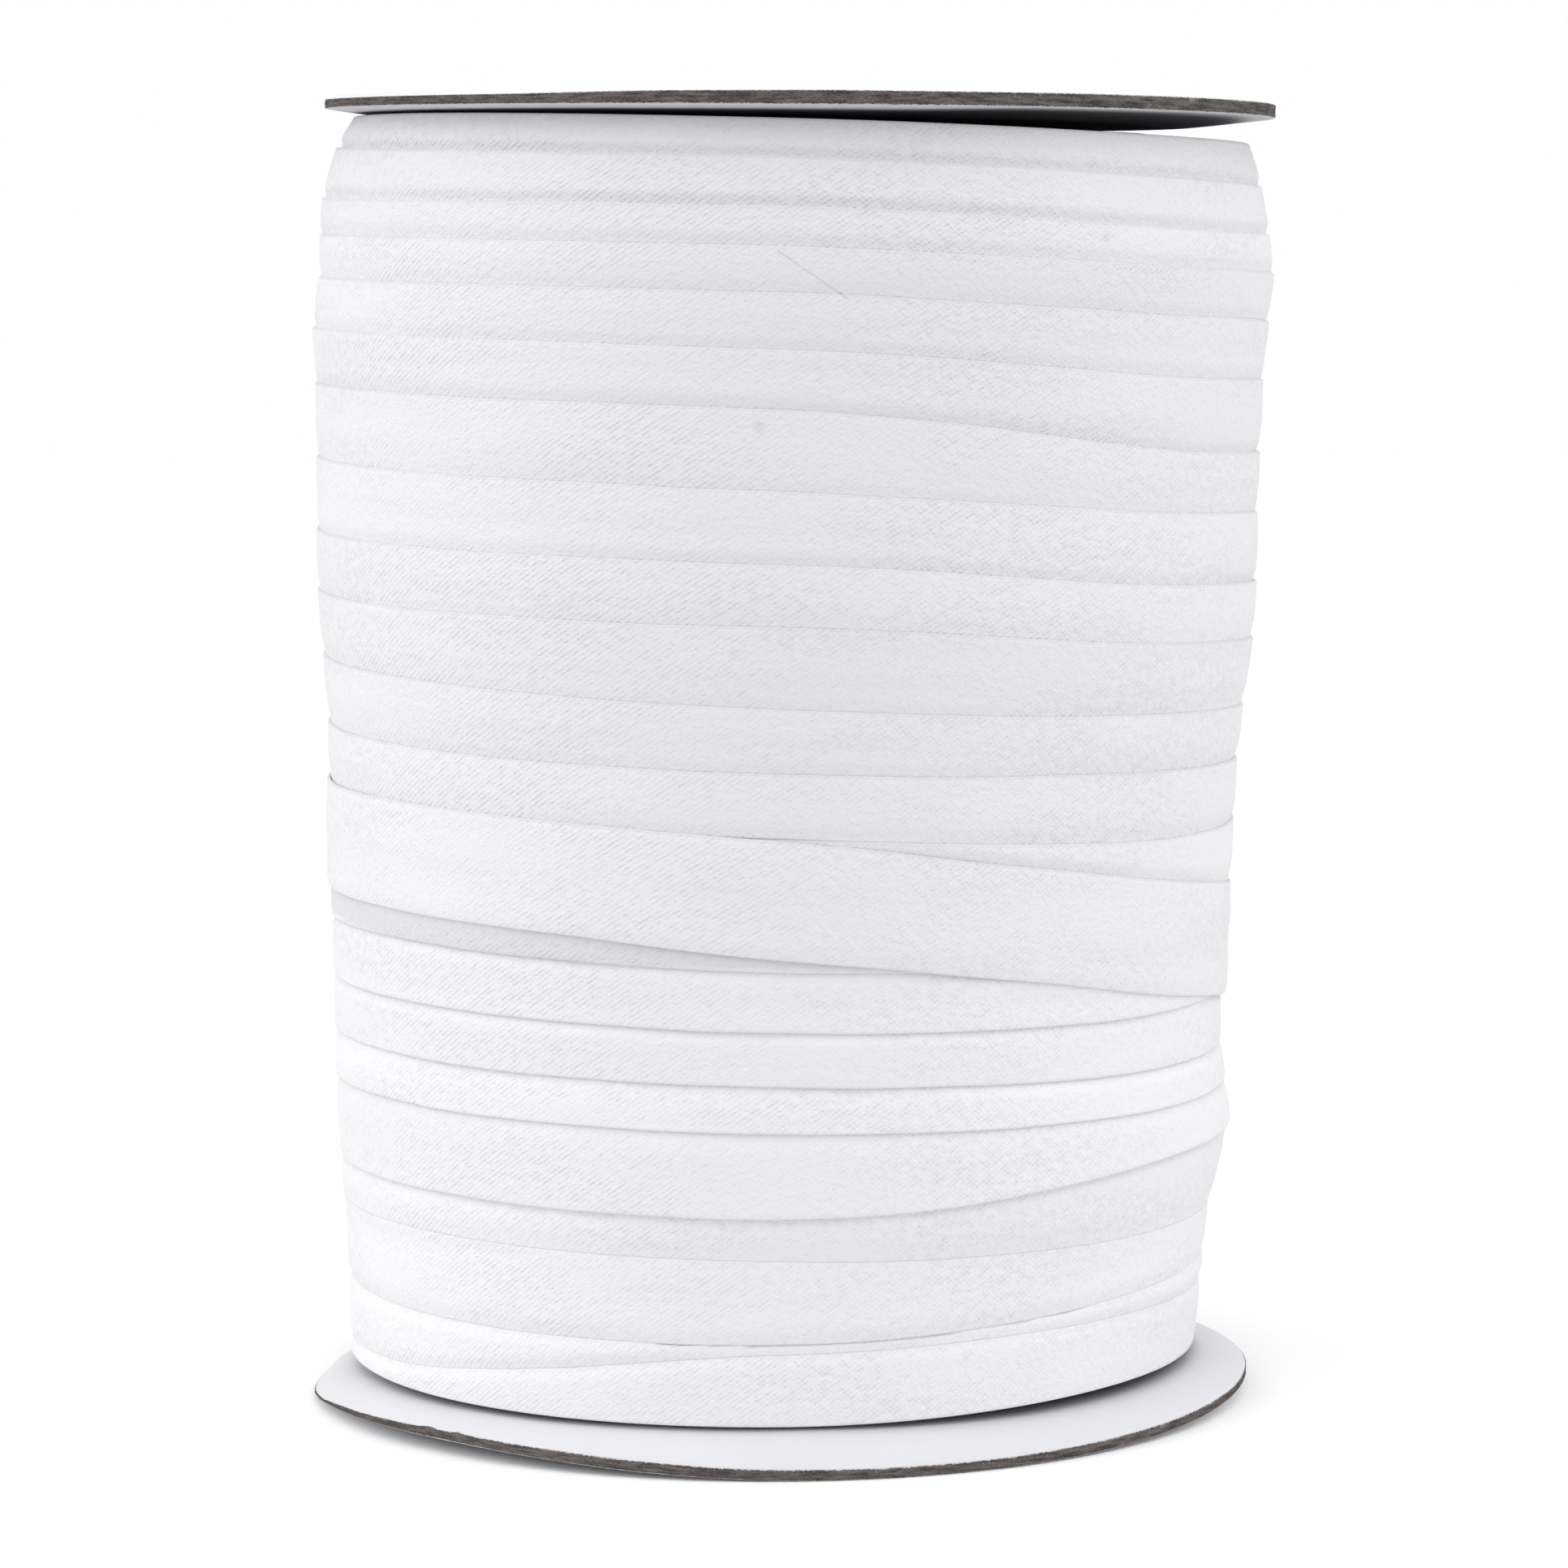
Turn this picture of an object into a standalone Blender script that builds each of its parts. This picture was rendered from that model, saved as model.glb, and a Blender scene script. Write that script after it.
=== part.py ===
# Roll of white bias tape, wound back and forth on a spool between two greyboard flanges.
# Metres, +Z up, front towards -Y. The bottom flange stands on z = 0.

import math

import bmesh
import bpy
from mathutils import Matrix, Vector

MM = 0.001

# Driving sizes
FLANGE_RADIUS = 56.0 * MM
TOP_BOARD = 1.6 * MM
BOTTOM_BOARD = 1.15 * MM
BOTTOM_CENTRE_X = -1.8 * MM
LEAN = math.radians(1.37)              # the winding leans to the right of its base
TOP_FLANGE_TILT = math.radians(1.18)
TOP_UNDERSIDE = 151.05 * MM            # flat middle of the top flange, up the leaning axis
WINDING_OFFSET = 0.8 * MM              # the winding sits left of the flanges' centres
CLEARANCE = 0.35 * MM                  # between a flange and the winding's ends

# Rim of each card flange: how far it is lifted out of flat, in mm, by direction in degrees
# from the right-hand side, counter-clockwise seen from above. 180 is left and 270 is front.
BOTTOM_RIM = [
    # direction, lift
    (0, 2.2), (20, 2.2), (60, 1.2), (120, 0.3), (160, 0.0), (180, 0.6), (205, 1.7), (225, 2.0),
    (240, 1.5), (255, 0.7), (270, 0.15), (285, 0.0), (300, 0.1), (320, 0.6), (340, 1.5),
]
TOP_RIM = [
    # direction, lift
    (0, 1.2), (45, 1.3), (90, 1.7), (135, 2.6), (160, 2.1), (185, 1.0), (225, 0.9), (270, 1.0),
    (315, 1.2),
]
BOTTOM_FLAT_RADIUS = 45.5 * MM
TOP_FLAT_RADIUS = 43.5 * MM
BOTTOM_DOME = 3.5 * MM                 # the bottom flange's middle stands up above its rim
FLANGE_COLUMNS = 72
FLANGE_RINGS = [0.25, 0.55, 0.8, 1.0]  # shares of the curled band between flat part and rim
FLANGE_INNER_RADIUS = 22.0 * MM

# Wraps of the upper pass, wound downwards: each lies over the foot of the one above, so its
# top edge shows. Heights of that edge up the axis, in mm, at the left, front and right of the
# front half, the radius just below the edge on the left and right, and its step out there.
TOP_EDGE_WRAPS = [
    # left, front, right, radius left, radius right, step left, step right
    (154.0, 153.5, 152.0, 53.6, 54.2, 0.3, 0.3),
    (147.0, 146.4, 144.9, 54.8, 55.7, 1.4, 0.7),
    (141.3, 141.0, 139.2, 55.6, 56.9, 0.6, 0.7),
    (137.0, 136.6, 134.8, 56.0, 57.1, 0.4, 0.4),
    (132.1, 131.6, 129.3, 56.2, 56.7, 0.4, 0.4),
    (126.1, 125.4, 122.4, 56.5, 56.1, 0.6, 0.4),
    (119.6, 118.8, 114.0, 56.1, 55.9, 0.4, 0.8),
    (110.9, 109.9, 107.0, 55.9, 55.8, 0.4, 0.4),
    (102.4, 101.9, 98.8, 55.9, 55.9, 0.5, 0.8),
    (95.3, 95.0, 92.2, 55.7, 55.6, 0.4, 0.35),
    (87.4, 85.9, 84.2, 55.0, 54.6, 0.35, 0.35),
    (79.5, 78.7, 77.7, 54.3, 54.0, 0.35, 0.35),
    (72.2, 71.5, 69.9, 54.1, 53.8, 0.35, 0.35),
    (72.8, 70.0, 62.0, 54.0, 53.2, 0.35, 0.35),
]
# Wraps of the lower pass, wound upwards: each lies over the head of the one below, so its
# bottom edge shows. Same columns, with the radius just above the edge.
BOTTOM_EDGE_WRAPS = [
    # left, front, right, radius left, radius right, step left, step right
    (-1.0, -0.5, 0.5, 50.9, 50.4, 0.3, 0.3),
    (13.7, 13.1, 15.1, 51.8, 51.2, 0.8, 0.3),
    (23.5, 23.9, 24.0, 52.1, 51.9, 0.15, 0.15),
    (28.5, 28.9, 33.0, 52.4, 54.2, 0.35, 0.5),
    (38.1, 38.5, 38.6, 53.0, 53.5, 0.35, 0.35),
    (43.6, 43.7, 43.2, 53.2, 52.8, 0.35, 0.35),
    (50.0, 49.8, 49.6, 53.4, 52.6, 0.35, 0.4),
    (57.1, 56.6, 56.1, 53.7, 52.6, 0.35, 0.35),
    (64.0, 63.5, 63.0, 53.9, 52.6, 0.35, 0.35),
]
# The last turn lies over everything, both edges showing, and ends in a slanting cut at the back.
# Direction as for the rims, the heights of its two edges, and its radius, in mm.
LAST_TURN = [
    # direction, bottom edge, top edge, radius
    (0, 48.6, 62.2, 53.6), (30, 47.4, 61.2, 53.6), (50, 47.6, 61.6, 53.6), (70, 51.0, 65.5, 53.8),
    (90, 56.2, 69.4, 54.0), (120, 59.2, 72.0, 54.2), (160, 60.2, 73.0, 54.4), (180, 60.4, 73.1, 54.5),
    (210, 60.3, 72.9, 54.5), (240, 59.5, 72.0, 54.3), (270, 57.6, 70.9, 54.1), (300, 55.1, 67.5, 53.9),
    (330, 51.2, 64.3, 53.6),
]
LAST_TURN_STEP = 0.55 * MM

# Ends of the winding: heights of its outer edges by direction, in mm
WINDING_TOP = [
    # direction, height
    (0, 149.4), (30, 149.5), (90, 150.2), (150, 150.8), (210, 151.0), (270, 150.6), (330, 149.6),
]
WINDING_BOTTOM = [
    # direction, height
    (0, 7.0), (30, 6.8), (90, 5.6), (150, 4.5), (210, 4.3), (270, 5.0), (330, 6.8),
]
TOP_RADIUS = 53.7 * MM
BOTTOM_RADIUS = 50.7 * MM

WINDING_COLUMNS = 80
EDGE_HALF_HEIGHT = 0.15 * MM           # an edge's step is spread over twice this height
LEAST_BAND = 0.1 * MM                  # a band lower than this closes up
CROWN = 0.12 * MM                      # each band swells a little between its edges
FRONT_SPREAD = 1.0 / 6.0               # left and right columns lie this share of a turn off front
END_ROUNDING = 0.4 * MM
END_LEDGE = 3.2 * MM                   # width of the last layers' edges at the ends
INNER_RADIUS = 41.0 * MM               # inside this the ends lie flat along the flanges

SHARP_ANGLE = math.radians(30.0)
MERGE_DISTANCE = 1e-6
WIDE_BAND = 6.0 * MM                   # bands from this height up take the full crown
ROWS_PER_TURN = 3                      # above the edge, below it, and half way to the next


def smooth_curve(knots):
    """Return a function through the (place, value) knots that never overshoots them."""
    places = [knot[0] for knot in knots]
    values = [knot[1] for knot in knots]
    gaps = [b - a for a, b in zip(places, places[1:])]
    rises = [(b - a) / gap for a, b, gap in zip(values, values[1:], gaps)]
    slopes = [rises[0]]
    for before, after in zip(rises, rises[1:]):
        slopes.append(0.0 if before * after <= 0.0 else 2.0 * before * after / (before + after))
    slopes.append(rises[-1])

    def value_at(place):
        i = 0
        while i < len(gaps) - 1 and place > places[i + 1]:
            i += 1
        t = min(max((place - places[i]) / gaps[i], 0.0), 1.0)
        ease = t * t * (3.0 - 2.0 * t)
        bend = gaps[i] * (slopes[i] * t * (1.0 - t) ** 2 - slopes[i + 1] * t * t * (1.0 - t))
        return values[i] + (values[i + 1] - values[i]) * ease + bend

    return value_at


def round_curve(rows, column):
    """Return a function of direction in degrees through one column of a closed table."""
    knots = [(row[0], row[column] * MM) for row in rows]
    before = [(place - 360.0, value) for place, value in knots[-3:]]
    after = [(place + 360.0, value) for place, value in knots[:3]]
    curve = smooth_curve(before + knots + after)
    return lambda direction: curve(direction % 360.0)


def smooth_step(t):
    t = min(max(t, 0.0), 1.0)
    return t * t * (3.0 - 2.0 * t)


def axis_frame():
    """Place the leaning winding axis over the bottom flange."""
    return Matrix.Translation((BOTTOM_CENTRE_X, 0.0, 0.0)) @ Matrix.Rotation(LEAN, 4, "Y")


def make_material(name, colour, roughness):
    material = bpy.data.materials.new(name)
    material.use_nodes = True
    shader = material.node_tree.nodes["Principled BSDF"]
    shader.inputs["Base Color"].default_value = (*colour, 1.0)
    shader.inputs["Roughness"].default_value = roughness
    shader.inputs["Metallic"].default_value = 0.0
    material.diffuse_color = (*colour, 1.0)
    return material


def add_object(name, bm, material):
    """Close up coincident points, shade smooth and put the mesh in the scene."""
    bmesh.ops.remove_doubles(bm, verts=bm.verts, dist=MERGE_DISTANCE)
    bmesh.ops.dissolve_degenerate(bm, edges=bm.edges, dist=MERGE_DISTANCE)
    bmesh.ops.recalc_face_normals(bm, faces=bm.faces)
    mesh = bpy.data.meshes.new(name)
    bm.to_mesh(mesh)
    bm.free()
    mesh.materials.append(material)
    mesh.shade_smooth()
    mesh.set_sharp_from_angle(angle=SHARP_ANGLE)
    obj = bpy.data.objects.new(name, mesh)
    bpy.context.collection.objects.link(obj)
    return obj


def add_ring(bm, points):
    return [bm.verts.new(point) for point in points]


def add_face(bm, corners):
    """Add a face over the corners that differ in place, and none if fewer than three do."""
    kept = []
    for corner in corners:
        if all((corner.co - other.co).length > MERGE_DISTANCE for other in kept):
            kept.append(corner)
    if len(kept) >= 3:
        bm.faces.new(kept)


def bridge_rings(bm, upper, lower):
    count = len(upper)
    for k in range(count):
        nxt = (k + 1) % count
        add_face(bm, [upper[k], lower[k], lower[nxt], upper[nxt]])


def close_ring(bm, ring, centre):
    middle = bm.verts.new(centre)
    for k, corner in enumerate(ring):
        add_face(bm, [corner, ring[(k + 1) % len(ring)], middle])


def make_flange(name, board, dome, flat_radius, rim, frame, material):
    """A disc whose outer band curls by the rim's table, board thick at its rim. Its upper face
    stands up by dome in the middle, over a flat underside that the roll stands on."""
    lift = round_curve(rim, 1)
    curled_width = FLANGE_RADIUS - flat_radius
    radii = [FLANGE_INNER_RADIUS, flat_radius]
    radii += [flat_radius + share * curled_width for share in FLANGE_RINGS]
    bm = bmesh.new()
    faces = []
    for height in (0.0, board):
        rings = []
        for radius in radii:
            share = max(radius - flat_radius, 0.0) / curled_width
            points = []
            for k in range(FLANGE_COLUMNS):
                direction = 360.0 * k / FLANGE_COLUMNS
                turn = math.radians(direction)
                level = height + lift(direction) * share * share
                if height > 0.0:
                    level += dome * (1.0 - share * share)
                points.append((radius * math.cos(turn), radius * math.sin(turn), level))
            rings.append(add_ring(bm, points))
        for inner, outer in zip(rings, rings[1:]):
            bridge_rings(bm, inner, outer)
        close_ring(bm, rings[0], (0.0, 0.0, rings[0][0].co.z))
        faces.append(rings[-1])
    bridge_rings(bm, faces[1], faces[0])
    flange = add_object(name, bm, material)
    flange.matrix_world = frame


class Pass:
    """One traverse of the tape: a helix read from a table with a row for each turn."""

    def __init__(self, rows, radius_side):
        heights, radii, steps = [], [], []
        for turn, (left, front, right, r_left, r_right, step_left, step_right) in enumerate(rows):
            for share, height in ((-FRONT_SPREAD, left), (0.0, front), (FRONT_SPREAD, right)):
                heights.append((turn + 0.5 + share, height * MM))
            radii += [(turn + 0.25, r_left * MM), (turn + 0.75, r_right * MM)]
            steps += [(turn + 0.25, step_left * MM), (turn + 0.75, step_right * MM)]
        self.height = smooth_curve(heights)
        self.radius = smooth_curve(radii)
        self.step = smooth_curve(steps)
        self.over_side = radius_side

    def rows_at(self, turns):
        """Height and radius of the two rows of an edge: above it, then below it."""
        height, radius, step = self.height(turns), self.radius(turns), self.step(turns)
        above = radius if self.over_side > 0 else radius - step
        below = radius - step if self.over_side > 0 else radius
        return (height + EDGE_HALF_HEIGHT, above), (height - EDGE_HALF_HEIGHT, below)


def direction_of(column):
    """Columns run from the back round the left, the front and the right to the back."""
    return 90.0 + 360.0 * column / WINDING_COLUMNS


def turned_point(radius, column, height):
    turn = math.radians(direction_of(column))
    return Vector((radius * math.cos(turn) - WINDING_OFFSET, radius * math.sin(turn), height))


def band_middle(upper, lower):
    """The row half way down a band, swollen a little when the band is wide enough."""
    height = (upper[0] + lower[0]) / 2.0
    swell = CROWN * smooth_step((upper[0] - lower[0]) / WIDE_BAND)
    return height, (upper[1] + lower[1]) / 2.0 + swell


def column_rows(column, downward, upward, limits):
    """Every row of one column from top to bottom, each with its height and radius."""
    turned = column / WINDING_COLUMNS
    direction = direction_of(column)
    top, bottom, last_low, last_high, last_radius = (curve(direction) for curve in limits)
    head = (last_high + EDGE_HALF_HEIGHT, last_radius - LAST_TURN_STEP)
    foot = (last_low - EDGE_HALF_HEIGHT, last_radius - LAST_TURN_STEP)
    rim = (top - END_ROUNDING, TOP_RADIUS)
    hem = (bottom + END_ROUNDING, BOTTOM_RADIUS)

    def clamp(row, ceiling, floor):
        if row[0] > ceiling[0] - LEAST_BAND:
            return ceiling
        return floor if row[0] < floor[0] + LEAST_BAND else row

    edges = []
    for turn in range(len(TOP_EDGE_WRAPS)):
        edges.append([clamp(row, rim, head) for row in downward.rows_at(turn + turned)])
    upper = [rim]
    for pair, following in zip(edges, edges[1:] + [[head]]):
        upper += [*pair, band_middle(pair[1], following[0])]
    upper += [head]

    edges = []
    for turn in reversed(range(len(BOTTOM_EDGE_WRAPS))):
        edges.append([clamp(row, foot, hem) for row in upward.rows_at(turn + turned)])
    lower = [foot]
    for pair, previous in zip(edges, [[foot]] + edges[:-1]):
        lower += [band_middle(previous[-1], pair[0]), *pair]
    lower += [hem]

    raised = [(last_high - EDGE_HALF_HEIGHT, last_radius), (last_low + EDGE_HALF_HEIGHT, last_radius)]
    middle = [head, raised[0], band_middle(*raised), raised[1], foot]
    return upper, middle, lower


def bridge_pass(bm, columns, shift):
    """Join the columns of one pass. Past the last column a row meets the next turn's own row,
    shift rows further on, while the pass's first and last rows close on themselves."""
    last_row = len(columns[0]) - 1
    for k in range(WINDING_COLUMNS):
        here = columns[k]
        there = columns[(k + 1) % WINDING_COLUMNS]
        moved = shift if k == WINDING_COLUMNS - 1 else 0
        partners = [min(max(j + moved, 0), last_row) for j in range(last_row + 1)]
        partners[0], partners[-1] = 0, last_row
        for j in range(last_row):
            span = range(partners[j + 1], partners[j] - 1, -1)
            add_face(bm, [here[j], here[j + 1]] + [there[row] for row in span])


def close_end(bm, ring, rings):
    """Carry an end of the winding inwards over its rings of points and close the middle."""
    for points in rings:
        following = add_ring(bm, points)
        bridge_rings(bm, ring, following)
        ring = following
    close_ring(bm, ring, sum((corner.co for corner in ring), Vector()) / len(ring))


def top_end(ring):
    """The last layers' top edges, then a flat middle just under the top flange."""
    level = TOP_UNDERSIDE - CLEARANCE - INNER_RADIUS * math.sin(LEAN - TOP_FLANGE_TILT)
    rings = []
    for radius in (TOP_RADIUS - END_ROUNDING, TOP_RADIUS - END_LEDGE):
        rings.append([turned_point(radius, k, corner.co.z + END_ROUNDING) for k, corner in enumerate(ring)])
    rings.append([turned_point(INNER_RADIUS, k, level) for k in range(WINDING_COLUMNS)])
    return rings


def bottom_end(ring, to_world):
    """The last layers' bottom edges, then a flat middle that is level with the bottom flange
    although the winding leans."""
    rings = []
    for radius in (BOTTOM_RADIUS - END_ROUNDING, BOTTOM_RADIUS - END_LEDGE):
        rings.append([turned_point(radius, k, corner.co.z - END_ROUNDING) for k, corner in enumerate(ring)])
    to_axis = to_world.inverted()
    level_ring = []
    for k in range(WINDING_COLUMNS):
        point = to_world @ turned_point(INNER_RADIUS, k, 0.0)
        point.z = BOTTOM_BOARD + BOTTOM_DOME + CLEARANCE
        level_ring.append(to_axis @ point)
    return rings + [level_ring]


def make_winding(material):
    downward = Pass(TOP_EDGE_WRAPS, -1)
    upward = Pass(BOTTOM_EDGE_WRAPS, 1)
    limits = [round_curve(WINDING_TOP, 1), round_curve(WINDING_BOTTOM, 1)]
    limits += [round_curve(LAST_TURN, column) for column in (1, 2, 3)]
    bm = bmesh.new()
    columns = []
    for k in range(WINDING_COLUMNS):
        sections = column_rows(k, downward, upward, limits)
        columns.append([
            add_ring(bm, [turned_point(radius, k, height) for height, radius in section])
            for section in sections
        ])
    upper, middle, lower = zip(*columns)
    bridge_pass(bm, upper, ROWS_PER_TURN)
    bridge_pass(bm, middle, 0)
    bridge_pass(bm, lower, -ROWS_PER_TURN)

    to_world = axis_frame()
    top_ring = [column[0] for column in upper]
    bottom_ring = [column[-1] for column in lower]
    close_end(bm, top_ring, top_end(top_ring))
    close_end(bm, bottom_ring, bottom_end(bottom_ring, to_world))
    winding = add_object("wound_tape", bm, material)
    winding.matrix_world = to_world


def main():
    for obj in list(bpy.data.objects):
        bpy.data.objects.remove(obj)
    board = make_material("greyboard_with_white_paper", (0.72, 0.72, 0.73), 0.8)
    tape = make_material("white_bias_tape", (0.86, 0.86, 0.88), 0.9)

    foot = Matrix.Translation((BOTTOM_CENTRE_X, 0.0, 0.0))
    bottom_rim = (BOTTOM_FLAT_RADIUS, BOTTOM_RIM)
    make_flange("flange_bottom", BOTTOM_BOARD, BOTTOM_DOME, *bottom_rim, foot, board)
    head = axis_frame() @ Matrix.Translation((0.0, 0.0, TOP_UNDERSIDE))
    head = head @ Matrix.Rotation(TOP_FLANGE_TILT - LEAN, 4, "Y")
    make_flange("flange_top", TOP_BOARD, 0.0, TOP_FLAT_RADIUS, TOP_RIM, head, board)
    make_winding(tape)


main()
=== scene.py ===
import math

import bmesh
import bpy
from mathutils import Matrix, Vector, noise


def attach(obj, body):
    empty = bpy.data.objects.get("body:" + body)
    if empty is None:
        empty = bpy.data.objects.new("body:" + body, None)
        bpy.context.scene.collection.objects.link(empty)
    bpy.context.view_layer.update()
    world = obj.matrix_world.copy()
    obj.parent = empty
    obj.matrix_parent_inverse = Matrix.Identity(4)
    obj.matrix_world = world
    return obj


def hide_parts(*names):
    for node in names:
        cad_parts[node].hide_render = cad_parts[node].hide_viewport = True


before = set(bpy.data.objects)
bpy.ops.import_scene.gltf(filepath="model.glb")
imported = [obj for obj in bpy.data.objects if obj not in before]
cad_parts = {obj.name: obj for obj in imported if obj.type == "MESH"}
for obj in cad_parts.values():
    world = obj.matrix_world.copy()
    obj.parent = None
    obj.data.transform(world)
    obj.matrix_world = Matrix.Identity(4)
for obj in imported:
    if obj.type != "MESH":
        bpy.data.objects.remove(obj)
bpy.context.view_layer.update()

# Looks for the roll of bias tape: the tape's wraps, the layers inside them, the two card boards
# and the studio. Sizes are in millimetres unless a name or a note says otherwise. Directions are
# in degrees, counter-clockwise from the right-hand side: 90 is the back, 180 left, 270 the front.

mm = 0.001
fullTurn = 360.0

# Where things stand, as in the part's source
spool = {
    "footX": -1.8,              # middle of the bottom board
    "lean": 1.37,               # degrees that the winding leans to the right
    "topBoardTilt": 1.18,       # degrees
    "topUnderside": 151.05,     # flat middle of the top board's underside, up the leaning axis
    "windingX": -0.8,           # the winding's centre, beside the leaning axis
    "boardRadius": 56.0,
    "clearance": 0.35,          # between a board and the ends of the winding
    # direction, height of the winding's outer edge
    "windingTop": [
        (0, 149.4), (30, 149.5), (90, 150.2), (150, 150.8), (210, 151.0), (270, 150.6), (330, 149.6),
    ],
    "windingBottom": [
        (0, 7.0), (30, 6.8), (90, 5.6), (150, 4.5), (210, 4.3), (270, 5.0), (330, 6.8),
    ],
}
footFrame = Matrix.Translation((spool["footX"] * mm, 0.0, 0.0))
leanFrame = footFrame @ Matrix.Rotation(math.radians(spool["lean"]), 4, "Y")


# Curves and meshes

def easeStep(share):
    share = min(max(share, 0.0), 1.0)
    return share * share * (3.0 - 2.0 * share)


def curveThrough(knots):
    # a smooth curve through (place, value) knots that never overshoots them
    places = [knot[0] for knot in knots]
    values = [knot[1] for knot in knots]
    gaps = [b - a for a, b in zip(places, places[1:])]
    rises = [(b - a) / gap for a, b, gap in zip(values, values[1:], gaps)]
    slopes = [rises[0]]
    for before, after in zip(rises, rises[1:]):
        slopes.append(0.0 if before * after <= 0.0 else 2.0 * before * after / (before + after))
    slopes.append(rises[-1])

    def valueAt(place):
        i = 0
        while i < len(gaps) - 1 and place > places[i + 1]:
            i += 1
        t = min(max((place - places[i]) / gaps[i], 0.0), 1.0)
        bend = gaps[i] * (slopes[i] * t * (1.0 - t) ** 2 - slopes[i + 1] * t * t * (1.0 - t))
        return values[i] + (values[i + 1] - values[i]) * easeStep(t) + bend

    return valueAt


def closedCurve(rows):
    # the same, round the whole circle, for (direction, value) rows
    before = [(row[0] - fullTurn, row[1]) for row in rows[-3:]]
    after = [(row[0] + fullTurn, row[1]) for row in rows[:3]]
    curve = curveThrough(before + list(rows) + after)
    return lambda direction: curve(direction % fullTurn)


seedSteps = (7.31, 3.17, 1.73)      # how far apart the noise is read for two seeds


def waver(seed, *places):
    # smooth noise between about -1 and 1, the same each run
    spread = list(places) + [0.0] * (3 - len(places))
    return noise.noise(Vector([place + seed * step for place, step in zip(spread, seedSteps)]))


def windingPoint(radius, direction, height):
    angle = math.radians(direction)
    across = radius * math.cos(angle) + spool["windingX"]
    return leanFrame @ (Vector((across, radius * math.sin(angle), height)) * mm)


def addPiece(name, points, faces, materials, coords=None, coordName=None):
    mesh = bpy.data.meshes.new(name)
    mesh.from_pydata(points, [], faces)
    if coords:
        held = mesh.attributes.new(coordName, "FLOAT_VECTOR", "POINT")
        held.data.foreach_set("vector", [number for coord in coords for number in coord])
    bm = bmesh.new()
    bm.from_mesh(mesh)
    bmesh.ops.recalc_face_normals(bm, faces=bm.faces)
    bm.to_mesh(mesh)
    bm.free()
    for material in materials:
        mesh.materials.append(material)
    mesh.shade_smooth()
    piece = bpy.data.objects.new(name, mesh)
    bpy.context.scene.collection.objects.link(piece)
    return piece


def bridgeFaces(ringCount, around):
    # quads between rings of points that are numbered ring by ring, each ring closed
    faces = []
    for ring in range(ringCount - 1):
        here = ring * around
        there = here + around
        for k in range(around):
            nxt = (k + 1) % around
            faces.append((here + k, here + nxt, there + nxt, there + k))
    return faces


def fanFaces(start, around, middle):
    # triangles between a ring of points and the point in its middle
    return [(start + k, start + (k + 1) % around, middle) for k in range(around)]


# Node helpers

def feed(tree, value, socket):
    if isinstance(value, bpy.types.NodeSocket):
        tree.links.new(value, socket)
    else:
        socket.default_value = value


def mathNode(tree, operation, *values):
    made = tree.nodes.new("ShaderNodeMath")
    made.operation = operation
    for value, socket in zip(values, made.inputs):
        feed(tree, value, socket)
    return made.outputs[0]


def vectorNode(tree, operation, *values):
    made = tree.nodes.new("ShaderNodeVectorMath")
    made.operation = operation
    for value, socket in zip(values, made.inputs):
        feed(tree, value, socket)
    return made.outputs["Value" if operation in ("DISTANCE", "DOT_PRODUCT", "LENGTH") else "Vector"]


def noiseNode(tree, vector, scale, detail=2.0, roughness=0.5):
    made = tree.nodes.new("ShaderNodeTexNoise")
    for name, value in (("Vector", vector), ("Scale", scale), ("Detail", detail), ("Roughness", roughness)):
        feed(tree, value, made.inputs[name])
    return made.outputs[0]


def rangeNode(tree, value, fromLow, fromHigh, toLow=0.0, toHigh=1.0):
    made = tree.nodes.new("ShaderNodeMapRange")
    made.interpolation_type = "SMOOTHSTEP"
    for socket, entry in zip(made.inputs, (value, fromLow, fromHigh, toLow, toHigh)):
        feed(tree, entry, socket)
    return made.outputs[0]


def mixColour(tree, share, first, second):
    made = tree.nodes.new("ShaderNodeMix")
    made.data_type = "RGBA"
    for name, value in (("Factor_Float", share), ("A_Color", first), ("B_Color", second)):
        socket = next(s for s in made.inputs if s.identifier == name)
        feed(tree, value, socket)
    return next(s for s in made.outputs if s.identifier == "Result_Color")


def bumpNode(tree, height, distance, below=None):
    made = tree.nodes.new("ShaderNodeBump")
    made.inputs["Distance"].default_value = distance
    feed(tree, height, made.inputs["Height"])
    if below:
        tree.links.new(below, made.inputs["Normal"])
    return made.outputs[0]


def attributeNode(tree, name):
    made = tree.nodes.new("ShaderNodeAttribute")
    made.attribute_name = name
    return made.outputs["Vector"]


def placeNode(tree):
    return tree.nodes.new("ShaderNodeTexCoord").outputs["Object"]


def splitNode(tree, vector):
    made = tree.nodes.new("ShaderNodeSeparateXYZ")
    tree.links.new(vector, made.inputs[0])
    return made.outputs


def joinNode(tree, *values):
    made = tree.nodes.new("ShaderNodeCombineXYZ")
    for value, socket in zip(values, made.inputs):
        feed(tree, value, socket)
    return made.outputs[0]


def makeGroup(name, inputs, outputs):
    # a node group with float or vector inputs (name, kind, default) and float outputs
    group = bpy.data.node_groups.new(name, "ShaderNodeTree")
    for label, kind, default in inputs:
        socket = group.interface.new_socket(label, in_out="INPUT", socket_type="NodeSocket" + kind)
        if default is not None:
            socket.default_value = default
    for label in outputs:
        group.interface.new_socket(label, in_out="OUTPUT", socket_type="NodeSocketFloat")
    return group, group.nodes.new("NodeGroupInput"), group.nodes.new("NodeGroupOutput")


def placeGroup(tree, group, values):
    made = tree.nodes.new("ShaderNodeGroup")
    made.node_tree = group
    for name, value in values.items():
        feed(tree, value, made.inputs[name])
    return made


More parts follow.
